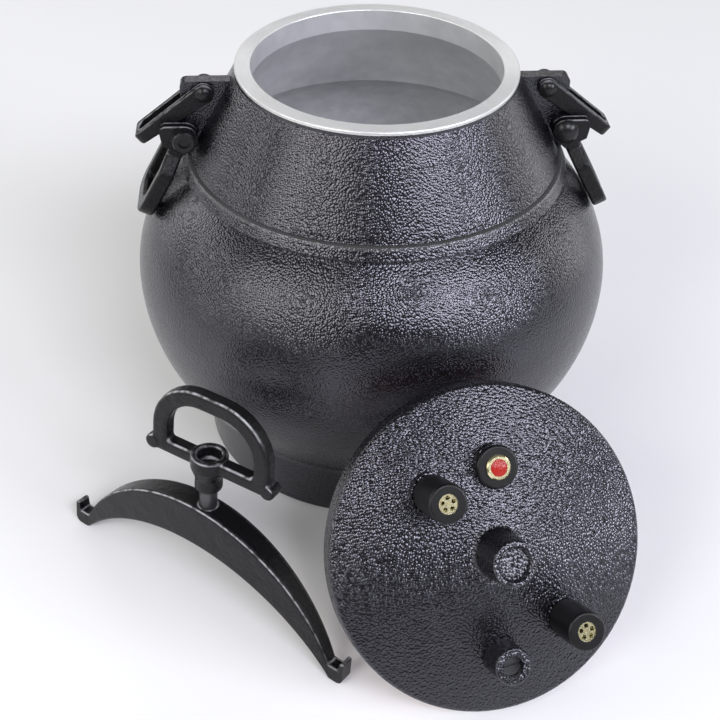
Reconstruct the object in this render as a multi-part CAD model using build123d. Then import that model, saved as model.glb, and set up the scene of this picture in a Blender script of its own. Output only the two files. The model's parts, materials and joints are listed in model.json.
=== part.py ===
from build123d import *
import math
import os

os.makedirs("parts", exist_ok=True)

# All sizes are in millimetres and all angles in degrees. The pot's axis is +Z and its foot stands
# on Z = 0. The front is the -Y side, where the lid and the clamp lean and stand.

# Clearances
running_gap = 0.05     # radial, round a pin, screw or stem that turns or slides
fixed_gap = 0.02       # radial, round a piece that is screwed or pressed in
side_gap = 0.3         # between faces that pass each other
lean_gap = 0.4         # between the belly and what leans or hangs against it

# Pot: a cast belly with an elliptical profile
belly_radius = 150.0
belly_height = 128.6       # height of the widest circle
belly_above = 111.2        # semi-axis of the profile over that circle
base_radius = 43.2         # of the flat in the middle of the base
belly_wall = 6.0
floor_thickness = 8.5

# Foot ring under the belly
foot_outer_radius = 108.5
foot_width = 7.5
foot_draft = 0.09          # outward slope of the ring, per millimetre of height
foot_fillet = 12.0
foot_inner_fillet = 3.0
foot_edge = 1.2

# Neck, rim and mouth
rim_height = 266.2
rim_outer_radius = 85.4
rim_land = 9.6             # width of the machined rim
rim_edge = 0.8
collar_height = 4.2
neck_overhang = 2.17       # how far the neck's foot stands out over the belly
neck_foot_height = 203.0
neck_undercut = 3.3        # drop from the ridge's lip to the belly
mouth_depth = 14.0         # length of the straight bore under the rim
ridge_rise = 1.7
ridge_width = 7.5
ridge_edge = 0.6

# Two raised ribs that frame the bare panel on the neck's front
panel_low = 11.0           # distance up the neck's side from its foot
panel_high = 50.0
panel_low_angle = 29.5     # half the angle that a rib spans
panel_high_angle = 25.0
rib_rise = 1.1
rib_width = 2.4

# Lugs on both sides of the neck, with a boss for the handle bolt
lug_thickness = 8.0
lug_drop = 9.1             # from the rim to the lug's flat top
lug_reach = 1.6            # how far its edge stands past the handle bolt
lug_corner = 4.0
lug_root = 14.0            # how deep it is sunk in the neck
boss_radius = 8.0

# Catches: U-shaped bails that hinge on the lugs and hook over the clamp's ends
catch_pin_reach = 18.3     # from the rim's outer edge to the pin
catch_pin_drop = 15.9      # from the rim down to the pin
catch_pin_radius = 3.0
catch_head_radius = 5.0
catch_head_height = 2.2
catch_length = 52.0
catch_bar = 4.5            # thickness of the closed end
catch_eye_radius = 6.0
catch_tip_radius = 3.9     # half the height of the closed end
catch_arm = 4.0
catch_side_gap = 0.6
catch_corner = 6.0
catch_slot_corner = 2.5
catch_edge = 0.8

# Stirrup handles on both sides
handle_bolt_drop = 41.7    # from the rim down to the bolt
handle_bolt_radius = 3.4
hub_radius = 8.0
hub_gap = 1.1              # between the hub and the neck
lobe_radius = 4.0
lobe_reach = 11.4
lobe_drop = 1.4
shelf_drop = 10.5          # from the bolt to the cheek's flat lower edge
shelf_inner = 5.0
shelf_outer = 9.5
cheek_thickness = 5.8
shelf_step = 1.5           # how far the cheek stands proud of the arm
handle_length = 60.0
handle_half_width = 22.0
handle_bar = 8.0
handle_grip = 10.0
handle_depth = 9.6
handle_neck = 14.5         # from the bolt to where the arms start to spread
handle_shoulder = 25.0     # from the bolt to where they are fully spread
handle_outer_corner = 12.0
handle_inner_corner = 7.0
handle_edge = 1.8
handle_stations = 12       # places along the loop that are kept clear of the pot

# Handle bolts
bolt_head_radius = 8.3
bolt_head_height = 4.6
washer_radius = 7.9
washer_thickness = 1.2
nut_radius = 7.0
nut_height = 4.4
nut_recess = 1.5           # how far the bolt's end lies inside the nut
nut_edge = 1.0

# Lid, in its own frame: Z = 0 is the underside of its flange
lid_overhang = 3.6         # past the rim's outer edge
lid_edge_thickness = 12.0
lid_rise = 17.0
lid_bulge = 2.5            # how far the top bows out from a straight cone
lid_wall = 8.0
lid_edge_round = 2.5
spigot_gap = 2.3           # between the lid's spigot ring and the mouth
spigot_wall = 6.0
spigot_depth = 24.0
spigot_edge = 1.0
gasket_overhang = 1.1      # past the rim's outer edge
gasket_groove = 4.0
gasket_height = 5.0

# Boss in the lid's middle, with the cup that the clamp screw presses into
cup_play = 3.2             # between the screw and the cup's wall
cup_wall = 3.7
cup_depth = 3.2
cup_height = 23.0          # from the lid's top to the boss's top
cup_draft = 1.4            # how much wider the boss is at its base
cup_edge = 1.2
cup_root_fillet = 2.5

# How the lid stands: on its edge, leaning back on the belly
lid_lean = 33.3            # elevation of its face above the horizon
lid_bearing = 12.5         # from the front towards +X

# Pads for the fittings, raised over the lid's top and under its wall
pad_rise = 2.4
pad_radius = 11.2
pad_under_radius = 9.5
pad_sink = 6.0

# Pressure valves: a brass body, a sprung poppet and a black cap that lifts with it
valve_a_inset = 36.25      # from the rim's outer edge in to the valve
valve_a_bearing = 129.55   # from the lid's +X
valve_a_height = 31.0
valve_b_inset = 29.88
valve_b_bearing = -51.58
valve_b_height = 29.5
shank_radius = 4.5
shank_bore = 1.4
shank_tail = 6.5
seal_radius = 7.6
seal_thickness = 1.0
body_flange_radius = 7.2
body_flange_height = 3.0
barrel_radius = 6.4
chamber_radius = 5.0
barrel_height = 13.5
seat_radius = 2.4
seat_depth = 1.0
retainer_height = 2.2
poppet_radius = 4.3
poppet_thickness = 2.0
poppet_nose = 0.9          # radius of the nose's tip
stem_radius = 1.5
spring_wire_radius = 0.4
spring_radius = 3.1
spring_turns = 4
cap_radius = 10.4
cap_bore = 8.2
cap_roof = 5.5
cap_lift_gap = 1.0         # between the cap's mouth and the pad
cap_edge = 1.4
insert_radius = 5.2
insert_thickness = 4.0
insert_sink = 0.7
insert_hole_radius = 1.15
insert_hole_circle = 3.2
insert_hole_count = 5
lock_nut_radius = 7.5
lock_nut_height = 4.0

# Fusible safety plug
safety_inset = 39.53
safety_bearing = 82.74
safety_socket_radius = 11.7
safety_socket_height = 3.6
safety_ring_radius = 6.8
safety_ring_height = 1.8
safety_plug_radius = 4.7
safety_plug_wall = 1.1     # brass round the plug, inside the socket
safety_plug_depth = 3.0
safety_plug_dome = 0.8

# Short cast stub with a screwed plug in its mouth
stub_inset = 29.46
stub_bearing = -95.33
stub_height = 21.0
stub_radius = 9.9
stub_mouth_radius = 5.5
stub_mouth_depth = 9.0
stub_edge = 1.2
stub_plug_height = 4.5
stub_slot_width = 1.4
stub_slot_depth = 1.5

# Clamp yoke, in its own frame: X along the bar, Z along the screw, Z = 0 under its feet
yoke_lean_in = 6.4         # from the catch pins in to the middle of the bail's seat
yoke_seat_width = 6.6
yoke_seat_height = 9.0
yoke_lip_height = 15.0
yoke_lip_thickness = 3.6
yoke_lip_corner = 4.0
yoke_lip_tip = 0.9
yoke_arch_height = 69.0
yoke_arch_depth = 27.0
yoke_foot_inset = 3.8      # from the middle of the seat to where the underside rises
yoke_mid_width = 16.5
yoke_end_width = 8.0
yoke_edge = 1.8

# Clamp screw and its swivelling thrust tip
screw_radius = 5.2
tip_radius = 4.9
tip_height = 8.0
tip_nose = 2.4             # radius of the flat on its nose
tip_nose_height = 3.0
tip_clear = 1.8            # how far the tip stands below the arch
spigot_pin_radius = 2.6
spigot_pin_length = 9.0
spigot_play = 0.15
groove_depth = 0.7
groove_height = 2.0
groove_offset = 4.0
retaining_pin_radius = 0.9
retaining_pin_half = 3.2

# D handle on the screw
hub_bottom = 82.2
hub_low_radius = 8.0
hub_high_radius = 10.5
hub_flare_start = 90.3
hub_flare_end = 98.3
hub_top = 102.3
hub_recess_radius = 6.5
hub_recess_depth = 5.0
cross_pin_radius = 1.5
cross_pin_height = 88.0
grip_bar_bottom = 93.3
grip_bar_top = 100.8
grip_top = 145.0
grip_foot_half = 40.0      # half the width at the bar
grip_top_half = 34.5       # half the width at the top
grip_leg = 11.0
grip_crown = 11.5
grip_thickness = 8.5
grip_outer_corner = 20.0
grip_inner_corner = 11.0
grip_low_corner = 1.6
grip_edge = 2.2
nub_radius = 3.4
nub_reach = 40.6
grip_turn = -5.5           # how far the handle is turned from the bar

# How the clamp stands on the floor in front of the pot
yoke_bearing = -33.2       # from the front towards +X
yoke_heading = -40.2       # direction of its bar
yoke_tilt = 6.0            # lean back towards the pot
screw_travel_down = 12.8
screw_travel_up = 6.0
grip_clearance = 0.6       # between the turning handle and the belly
settling_steps = 60        # rounds in which a resting place is worked out


# Shared shapes

belly_below = belly_height / math.sqrt(1 - (base_radius / belly_radius) ** 2)
foot_inner_radius = foot_outer_radius - foot_width


def belly_radius_at(height, inset=0.0):
    # Radius of the belly's surface, or of a surface inset from it
    reach = belly_above if height > belly_height else belly_below
    share = (height - belly_height) / (reach - inset)
    return (belly_radius - inset) * math.sqrt(max(0.0, 1.0 - share ** 2))


def belly_arc(low, high, inset=0.0):
    # One stretch of the belly's profile, between two heights on the same side of its widest circle
    reach = (belly_above if high > belly_height else belly_below) - inset
    start = math.degrees(math.asin((low - belly_height) / reach))
    end = math.degrees(math.asin((high - belly_height) / reach))
    across = belly_radius - inset
    return EllipticalCenterArc((0, belly_height), across, reach, start_angle=start, arc_size=end - start)


def outline(*points):
    return Polyline(*points).edges()


def turned(face):
    # Solid of revolution about Z from a flat profile of radius and height
    return revolve(Plane.XZ * face, Axis.Z)


def polygon_face(*points):
    return make_face(Polyline(*points, close=True).edges())


def turned_points(*points):
    return turned(polygon_face(*points))


def upright_disc(radius, low, high):
    return Pos(0, 0, (low + high) / 2) * Cylinder(radius, high - low)


def cross_rod(radius, half_length, place=(0, 0)):
    # Rod along Y through a point of the XZ plane
    return Pos(place[0], 0, place[1]) * Rot(90, 0, 0) * Cylinder(radius, 2 * half_length)


def circle_edge(shape, radius, height):
    # The round edge about Z that lies nearest to a radius and a height
    rings = shape.edges().filter_by(GeomType.CIRCLE)
    return min(rings, key=lambda e: abs(e.radius - radius) + abs(e.arc_center.Z - height))


def hexagon_nut(radius, low, high, bore):
    blank = extrude(RegularPolygon(radius, 6), high - low)
    return Pos(0, 0, low) * blank - upright_disc(bore, low, high)


# Neck geometry

mouth_radius = rim_outer_radius - rim_land
neck_foot_radius = belly_radius_at(neck_foot_height - neck_undercut) + neck_overhang
collar_foot = rim_height - collar_height
neck_run = rim_outer_radius - neck_foot_radius
neck_climb = collar_foot - neck_foot_height
neck_side = math.hypot(neck_run, neck_climb)
neck_cos = neck_climb / neck_side
neck_sin = -neck_run / neck_side


def neck_point(along, out=0.0):
    # Radius and height of a point up the neck's side from its foot, and out from its surface
    radius = neck_foot_radius - along * neck_sin + out * neck_cos
    height = neck_foot_height + along * neck_cos + out * neck_sin
    return (radius, height)


def neck_radius_at(height):
    return neck_foot_radius - (height - neck_foot_height) * neck_sin / neck_cos


# Places of the pins on the right side; the left side mirrors them

catch_pin_x = rim_outer_radius + catch_pin_reach
catch_pin_z = rim_height - catch_pin_drop
handle_bolt_z = rim_height - handle_bolt_drop
handle_bolt_x = neck_radius_at(handle_bolt_z) + (hub_radius + hub_gap) / neck_cos

# Widths across the lugs, from the middle outwards
catch_inner = max(lug_thickness, yoke_end_width) / 2 + catch_side_gap
catch_outer = catch_inner + catch_arm
boss_half = catch_outer + side_gap
cheek_inner = boss_half + side_gap
cheek_outer = cheek_inner + cheek_thickness


# Pot

def pot_outside():
    undercut = neck_foot_height - neck_undercut
    notch = (belly_radius_at(undercut), undercut)
    edges = outline((0, 0), (base_radius, 0))
    edges += [belly_arc(0, belly_height), belly_arc(belly_height, undercut)]
    edges += outline(
        notch,
        neck_point(0, ridge_rise),
        neck_point(ridge_width, ridge_rise),
        neck_point(ridge_width + ridge_rise),
        (rim_outer_radius, collar_foot),
        (rim_outer_radius, rim_height),
        (0, rim_height),
        (0, 0),
    )
    return make_face(edges)


def pot_cavity():
    shoulder = neck_foot_height - neck_undercut
    above = rim_height + rim_land
    floor_radius = belly_radius_at(floor_thickness, belly_wall)
    edges = outline((0, floor_thickness), (floor_radius, floor_thickness))
    edges += [belly_arc(floor_thickness, belly_height, belly_wall)]
    edges += [belly_arc(belly_height, shoulder, belly_wall)]
    edges += outline(
        (belly_radius_at(shoulder, belly_wall), shoulder),
        (mouth_radius, rim_height - mouth_depth),
        (mouth_radius, above),
        (0, above),
        (0, floor_thickness),
    )
    return turned(make_face(edges))


def foot_ring():
    top = belly_height / 2
    return polygon_face(
        (foot_inner_radius, 0),
        (foot_outer_radius, 0),
        (foot_outer_radius + top * foot_draft, top),
        (foot_inner_radius, top),
    )


def foot_meets_belly(radius):
    # Height at which a vertical line at this radius meets the belly's underside
    return belly_height - belly_below * math.sqrt(1 - (radius / belly_radius) ** 2)


def panel_rib(along, half_angle):
    half = rib_width / 2
    crest = half - rib_rise / 2
    section = polygon_face(
        neck_point(along - half, -rib_rise),
        neck_point(along - crest, rib_rise),
        neck_point(along + crest, rib_rise),
        neck_point(along + half, -rib_rise),
    )
    rib = revolve(Plane.XZ * section, Axis.Z, revolution_arc=2 * half_angle)
    return Rot(0, 0, -90 - half_angle) * rib


def lug():
    # Plate in the XZ plane, from the neck out past the handle bolt
    top = rim_height - lug_drop
    edge_x = handle_bolt_x + lug_reach
    low = neck_foot_height + ridge_width / 2
    face = polygon_face(
        (rim_outer_radius - rim_land / 2, top),
        (edge_x, top),
        (edge_x, handle_bolt_z),
        (handle_bolt_x, handle_bolt_z - boss_radius),
        (neck_radius_at(low) + lug_reach, low),
        (neck_radius_at(low) - lug_root / 2, low),
        (neck_radius_at(handle_bolt_z) - lug_root / 2, handle_bolt_z),
    )
    corner = face.vertices().sort_by(lambda v: v.X + v.Y)[-1]
    solid = extrude(Plane.XZ * fillet(corner, lug_corner), lug_thickness / 2, both=True)
    return solid + cross_rod(boss_radius, boss_half, (handle_bolt_x, handle_bolt_z))


def lug_holes():
    catch_hole = cross_rod(catch_pin_radius + fixed_gap, boss_half * 2, (catch_pin_x, catch_pin_z))
    bolt_hole = cross_rod(handle_bolt_radius + fixed_gap, boss_half * 2, (handle_bolt_x, handle_bolt_z))
    return catch_hole + bolt_hole


def pot_body():
    shell = turned(pot_outside() + foot_ring())
    outer_meet = foot_outer_radius + foot_meets_belly(foot_outer_radius) * foot_draft
    shell = fillet(circle_edge(shell, outer_meet, foot_meets_belly(outer_meet)), foot_fillet)
    inner_meet = foot_meets_belly(foot_inner_radius)
    shell = fillet(circle_edge(shell, foot_inner_radius, inner_meet), foot_inner_fillet)
    shell = fillet(circle_edge(shell, foot_outer_radius, 0), foot_edge)
    shell = fillet(circle_edge(shell, foot_inner_radius, 0), foot_edge)
    shell = fillet(circle_edge(shell, *neck_point(0, ridge_rise)), ridge_edge)
    shell = fillet(circle_edge(shell, *neck_point(ridge_width, ridge_rise)), ridge_edge)
    shell = fillet(circle_edge(shell, rim_outer_radius, rim_height), rim_edge)
    right = lug()
    shell = shell + right + mirror(right, Plane.YZ)
    shell = shell + panel_rib(panel_low, panel_low_angle) + panel_rib(panel_high, panel_high_angle)
    shell = shell - pot_cavity()
    shell = fillet(circle_edge(shell, mouth_radius, rim_height), rim_edge)
    holes = lug_holes()
    return shell - holes - mirror(holes, Plane.YZ)


# Catches

def catch_pin():
    # Rivet with a low dome at each end
    face_y = catch_outer + side_gap
    rod = cross_rod(catch_pin_radius, face_y)
    cap_sphere = (catch_head_radius ** 2 + catch_head_height ** 2) / (2 * catch_head_height)
    dome = Pos(0, 0, catch_head_height - cap_sphere) * Sphere(cap_sphere)
    dome = dome & upright_disc(catch_head_radius, 0, catch_head_height)
    near = Pos(0, -face_y, 0) * Rot(90, 0, 0) * dome
    far = Pos(0, face_y, 0) * Rot(-90, 0, 0) * dome
    return rod + near + far


def catch():
    # The pin is at the origin and the bail reaches along +X
    tip_x = catch_length - catch_tip_radius
    side = make_hull(
        [
            CenterArc((0, 0), catch_eye_radius, 0, 360),
            CenterArc((tip_x, 0), catch_tip_radius, 0, 360),
        ]
    )
    plan = Pos((catch_length - catch_eye_radius) / 2, 0) * Rectangle(
        catch_length + catch_eye_radius, 2 * catch_outer
    )
    plan = fillet(plan.vertices().group_by(Axis.X)[-1], catch_corner)
    slot_end = catch_length - catch_bar
    slot_start = -2 * catch_eye_radius
    slot = Pos((slot_end + slot_start) / 2, 0) * Rectangle(slot_end - slot_start, 2 * catch_inner)
    slot = fillet(slot.vertices().group_by(Axis.X)[-1], catch_slot_corner)
    tall = extrude(plan - slot, 2 * catch_eye_radius, both=True)
    wide = extrude(Plane.XZ * side, catch_outer, both=True)
    cheeks = wide.faces().sort_by(Axis.Y)
    wide = fillet(cheeks[0].edges() + cheeks[-1].edges(), catch_edge)
    return (tall & wide) - cross_rod(catch_pin_radius + running_gap, 2 * catch_outer)


def catch_angle():
    # Angle below the horizon at which the bail's lower edge lies on the handle boss
    run = handle_bolt_x - catch_pin_x
    drop = catch_pin_z - handle_bolt_z
    span = math.hypot(run, drop)
    to_boss = math.degrees(math.atan2(drop, run))
    lift = math.degrees(math.asin((catch_eye_radius + boss_radius + side_gap) / span))
    tip_x = catch_length - catch_tip_radius
    taper = math.degrees(math.asin((catch_eye_radius - catch_tip_radius) / tip_x))
    return to_boss - lift + taper


def catch_place():
    angle = math.radians(catch_angle())
    along = (math.cos(angle), 0, -math.sin(angle))
    normal = (math.sin(angle), 0, math.cos(angle))
    return Plane(origin=(catch_pin_x, 0, catch_pin_z), x_dir=along, z_dir=normal)


# Stirrup handles

def cheek_side():
    # Outline of a cheek seen along the bolt: hub, lobe and flat lower edge
    return make_hull(
        [
            CenterArc((0, 0), hub_radius, 0, 360),
            CenterArc((lobe_reach, -lobe_drop), lobe_radius, 0, 360),
            Line((-shelf_inner, -shelf_drop), (shelf_outer, -shelf_drop)),
        ]
    )


def loop_front():
    # Outline seen from outside: two arms that run down from the bolt and spread into a closed loop
    inner_half = handle_half_width - handle_bar
    arm_outer = cheek_outer - shelf_step
    face = polygon_face(
        (arm_outer, 0),
        (arm_outer, -handle_neck),
        (handle_half_width, -handle_shoulder),
        (handle_half_width, -handle_length),
        (-handle_half_width, -handle_length),
        (-handle_half_width, -handle_shoulder),
        (-arm_outer, -handle_neck),
        (-arm_outer, 0),
    )
    face = fillet(face.vertices().group_by(Axis.Y)[0], handle_outer_corner)
    shoulders = [v for v in face.vertices() if abs(v.Y + handle_shoulder) < side_gap]
    face = fillet(shoulders, handle_inner_corner)
    window_low = handle_grip - handle_length
    hole = polygon_face(
        (cheek_inner, hub_radius),
        (cheek_inner, -handle_neck),
        (inner_half, -handle_shoulder),
        (inner_half, window_low),
        (-inner_half, window_low),
        (-inner_half, -handle_shoulder),
        (-cheek_inner, -handle_neck),
        (-cheek_inner, hub_radius),
    )
    hole = fillet(hole.vertices().group_by(Axis.Y)[0], handle_inner_corner)
    return face - hole


def ring_handle():
    # The bolt is at the origin and the loop hangs along -Z
    cheeks = extrude(Plane.XZ * cheek_side(), cheek_outer, both=True)
    cheeks = cheeks - Box(2 * handle_length, 2 * cheek_inner, 2 * handle_length)
    loop = extrude(Plane.YZ * loop_front(), handle_depth / 2, both=True)
    faces = loop.faces().sort_by(Axis.X)
    loop = fillet(faces[0].edges() + faces[-1].edges(), handle_edge)
    return cheeks + loop - cross_rod(handle_bolt_radius + running_gap, 2 * cheek_outer)


def pot_radius_at(height):
    # Radius of the belly, or of the neck with its ridge
    if height < neck_foot_height - neck_undercut:
        return belly_radius_at(height)
    return neck_radius_at(height) + ridge_rise / neck_cos


def handle_angle():
    # Angle out from the vertical at which the loop's inner side comes to lie against the pot
    half = handle_depth / 2
    angle = 0.0
    for _ in range(settling_steps):
        shortfall = -handle_length
        for station in range(handle_stations):
            reach = handle_length * (station + 1) / handle_stations
            side_x = handle_bolt_x + reach * math.sin(angle) - half * math.cos(angle)
            side_z = handle_bolt_z - reach * math.cos(angle) - half * math.sin(angle)
            shortfall = max(shortfall, pot_radius_at(side_z) + lean_gap - side_x)
        angle = angle + shortfall / handle_length
    return math.degrees(angle)


def handle_place():
    return Pos(handle_bolt_x, 0, handle_bolt_z) * Rot(0, -handle_angle(), 0)


def bolt_parts():
    # Bolt along Y with its domed head at the front, and a washer and round nut behind
    front_y = -cheek_outer - side_gap
    washer_y = cheek_outer + side_gap
    nut_y = washer_y + washer_thickness
    end_y = nut_y + nut_height - nut_recess
    cap_sphere = (bolt_head_radius ** 2 + bolt_head_height ** 2) / (2 * bolt_head_height)
    dome = Pos(0, 0, bolt_head_height - cap_sphere) * Sphere(cap_sphere)
    dome = dome & upright_disc(bolt_head_radius, 0, bolt_head_height)
    head = Pos(0, front_y, 0) * Rot(90, 0, 0) * dome
    shank = Pos(0, (front_y + end_y) / 2, 0) * Rot(90, 0, 0) * Cylinder(handle_bolt_radius, end_y - front_y)
    bore = handle_bolt_radius + fixed_gap
    washer = upright_disc(washer_radius, 0, washer_thickness) - upright_disc(bore, 0, washer_thickness)
    nut = upright_disc(nut_radius, 0, nut_height)
    nut = chamfer(nut.edges().group_by(Axis.Z)[-1], nut_edge)
    nut = nut - upright_disc(bore, 0, nut_height)
    back = Rot(-90, 0, 0)
    return {
        "handle_bolt": shank + head,
        "handle_washer": Pos(0, washer_y, 0) * back * washer,
        "handle_nut": Pos(0, nut_y, 0) * back * nut,
    }


# Lid

lid_radius = rim_outer_radius + lid_overhang
lid_top = lid_edge_thickness + lid_rise
spigot_outer = mouth_radius - spigot_gap
spigot_inner = spigot_outer - spigot_wall
groove_outer = rim_outer_radius + gasket_overhang


def lid_spot(inset, bearing):
    # Place on the lid of a fitting, by its distance in from the rim and its bearing
    reach = rim_outer_radius - inset
    return (reach * math.cos(math.radians(bearing)), reach * math.sin(math.radians(bearing)))


valve_a_place = lid_spot(valve_a_inset, valve_a_bearing)
valve_b_place = lid_spot(valve_b_inset, valve_b_bearing)
safety_place = lid_spot(safety_inset, safety_bearing)
stub_place = lid_spot(stub_inset, stub_bearing)

# The top is an arc about Z from the edge to the middle, bowed out from their straight line
top_chord = math.hypot(lid_radius, lid_rise)
top_arc_radius = (top_chord ** 2 / 4 + lid_bulge ** 2) / (2 * lid_bulge)
top_centre_r = lid_radius / 2 - lid_rise / top_chord * (top_arc_radius - lid_bulge)
top_centre_z = lid_edge_thickness + lid_rise / 2 - lid_radius / top_chord * (top_arc_radius - lid_bulge)


def lid_height_at(radius, inset=0.0):
    reach = top_arc_radius - inset
    return top_centre_z + math.sqrt(reach ** 2 - (radius - top_centre_r) ** 2)


def lid_arc(start, end, inset=0.0):
    middle = (start + end) / 2
    points = [(r, lid_height_at(r, inset)) for r in (start, middle, end)]
    return ThreePointArc(*points)


cup_radius = screw_radius + cup_play
cup_boss_radius = cup_radius + cup_wall
cup_boss_top = lid_top + cup_height


def lid_blank():
    base = cup_boss_radius + cup_draft
    edges = outline(
        (lid_radius, lid_edge_thickness),
        (lid_radius, 0),
        (groove_outer, 0),
        (groove_outer, gasket_groove),
        (spigot_outer, gasket_groove),
        (spigot_outer, -spigot_depth),
        (spigot_inner, -spigot_depth),
        (spigot_inner, lid_height_at(spigot_inner, lid_wall)),
    )
    edges += [lid_arc(spigot_inner, 0, lid_wall)]
    edges += outline(
        (0, lid_height_at(0, lid_wall)),
        (0, cup_boss_top - cup_depth),
        (cup_radius, cup_boss_top - cup_depth),
        (cup_radius, cup_boss_top),
        (cup_boss_radius, cup_boss_top),
        (base, lid_height_at(base)),
    )
    edges += [lid_arc(base, lid_radius)]
    blank = turned(make_face(edges))
    blank = fillet(circle_edge(blank, lid_radius, lid_edge_thickness), lid_edge_round)
    blank = fillet(circle_edge(blank, base, lid_height_at(base)), cup_root_fillet)
    blank = fillet(circle_edge(blank, cup_boss_radius, cup_boss_top), cup_edge)
    blank = chamfer(circle_edge(blank, cup_radius, cup_boss_top), cup_edge)
    blank = chamfer(circle_edge(blank, spigot_outer, -spigot_depth), spigot_edge)
    return blank


def pad_top(place):
    return lid_height_at(math.hypot(*place)) + pad_rise


def pad_bottom(place):
    return lid_height_at(math.hypot(*place), lid_wall) - pad_rise


def through_pad(place, top_radius):
    # Raised seat on both sides of the lid's wall, round a fitting's shank
    middle = lid_height_at(math.hypot(*place), lid_wall / 2)
    upper = upright_disc(top_radius, middle, pad_top(place))
    under = upright_disc(pad_under_radius, pad_bottom(place), middle)
    return Pos(place[0], place[1], 0) * (upper + under)


def stub_top():
    return lid_height_at(math.hypot(*stub_place)) + stub_height


def stub():
    root = lid_height_at(math.hypot(*stub_place), lid_wall / 2)
    post = upright_disc(stub_radius, root, stub_top())
    post = fillet(post.edges().group_by(Axis.Z)[-1], stub_edge)
    return Pos(stub_place[0], stub_place[1], 0) * post


def stub_mouth():
    mouth = upright_disc(stub_mouth_radius, stub_top() - stub_mouth_depth, stub_top() + stub_edge)
    return Pos(stub_place[0], stub_place[1], 0) * mouth


def lid_plate():
    plate = lid_blank() + stub() - stub_mouth()
    for place, radius in (
        (valve_a_place, pad_radius),
        (valve_b_place, pad_radius),
        (safety_place, safety_socket_radius + side_gap),
    ):
        plate = plate + through_pad(place, radius)
    for place in (valve_a_place, valve_b_place, safety_place):
        bore = upright_disc(shank_radius + fixed_gap, pad_bottom(place) - pad_sink, pad_top(place) + pad_sink)
        plate = plate - Pos(place[0], place[1], 0) * bore
    return plate


def lid_gasket():
    inner = spigot_outer + running_gap
    outer = groove_outer - running_gap
    low = gasket_groove - gasket_height
    return upright_disc(outer, low, gasket_groove) - upright_disc(inner, low, gasket_groove)


def stub_plug():
    # Slotted screw at the bottom of the stub's mouth
    floor = stub_top() - stub_mouth_depth
    plug = upright_disc(stub_mouth_radius - running_gap, floor, floor + stub_plug_height)
    slot_middle = floor + stub_plug_height - stub_slot_depth / 2
    slot = Pos(0, 0, slot_middle) * Box(2 * stub_mouth_radius, stub_slot_width, stub_slot_depth)
    return Pos(stub_place[0], stub_place[1], 0) * (plug - slot)


def safety_parts():
    # The pad's top is at Z = 0 here
    ring_top = safety_socket_height + safety_ring_height
    tail = pad_bottom(safety_place) - pad_top(safety_place)
    sleeve_radius = safety_plug_radius + safety_plug_wall
    socket = upright_disc(safety_socket_radius, 0, safety_socket_height)
    socket = fillet(socket.edges().group_by(Axis.Z)[-1], cup_edge)
    socket = socket - upright_disc(sleeve_radius + fixed_gap, 0, safety_socket_height)
    ring = upright_disc(safety_ring_radius, safety_socket_height, ring_top)
    ring = chamfer(ring.edges().group_by(Axis.Z)[-1], rim_edge)
    ring = ring + upright_disc(sleeve_radius, 0, safety_socket_height)
    ring = ring + upright_disc(shank_radius, tail - shank_tail, 0)
    plug_low = ring_top - safety_plug_depth
    ring = ring - upright_disc(safety_plug_radius, plug_low, ring_top)
    ring = ring - upright_disc(shank_bore, tail - shank_tail, ring_top)
    plug = upright_disc(safety_plug_radius - fixed_gap, plug_low, ring_top)
    dome_sphere = (safety_plug_radius ** 2 + safety_plug_dome ** 2) / (2 * safety_plug_dome)
    dome = Pos(0, 0, ring_top + safety_plug_dome - dome_sphere) * Sphere(dome_sphere)
    dome = dome & upright_disc(safety_plug_radius - fixed_gap, plug_low, ring_top + safety_plug_dome)
    nut = hexagon_nut(lock_nut_radius, tail - lock_nut_height, tail, shank_radius + fixed_gap)
    up = Pos(safety_place[0], safety_place[1], pad_top(safety_place))
    return {
        "safety_socket": up * socket,
        "safety_ring": up * ring,
        "safety_plug": up * (plug + dome),
        "safety_nut": up * nut,
    }


# Pressure valve, with Z = 0 on the pad's top

flange_top = seal_thickness + body_flange_height
barrel_top = flange_top + barrel_height
chamber_floor = flange_top
retainer_low = barrel_top - retainer_height
poppet_low = chamber_floor + side_gap
poppet_top = poppet_low + poppet_thickness


def valve_body(tail):
    body = upright_disc(shank_radius, tail - shank_tail, seal_thickness)
    hexagon = extrude(RegularPolygon(body_flange_radius, 6), body_flange_height)
    body = body + Pos(0, 0, seal_thickness) * hexagon
    body = body + upright_disc(barrel_radius, seal_thickness, barrel_top)
    body = body - upright_disc(chamber_radius, chamber_floor, barrel_top)
    body = body - upright_disc(shank_bore, tail - shank_tail, chamber_floor)
    seat = turned_points(
        (0, chamber_floor - seat_depth),
        (shank_bore, chamber_floor - seat_depth),
        (seat_radius, chamber_floor),
        (0, chamber_floor),
    )
    return body - seat


def valve_poppet(stem_top):
    # Cone-nosed disc that closes the seat, on a stem that carries the cap
    nose_low = poppet_low - seat_depth
    return turned_points(
        (0, nose_low),
        (poppet_nose, nose_low),
        (seat_radius - running_gap, poppet_low),
        (poppet_radius, poppet_low),
        (poppet_radius, poppet_top),
        (stem_radius, poppet_top),
        (stem_radius, stem_top),
        (0, stem_top),
    )


def valve_spring():
    # Wire coiled about the stem between the poppet and the retainer
    low = poppet_top + spring_wire_radius + running_gap
    high = retainer_low - spring_wire_radius - running_gap
    pitch = (high - low) / spring_turns
    path = Helix(pitch=pitch, height=high - low, radius=spring_radius)
    start = Plane(origin=path @ 0, z_dir=path % 0)
    coil = sweep(start * Circle(spring_wire_radius), path=path, is_frenet=True)
    print("spring: least gap between turns", round(pitch - 2 * spring_wire_radius, 2), "mm")
    return Pos(0, 0, low) * coil


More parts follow.
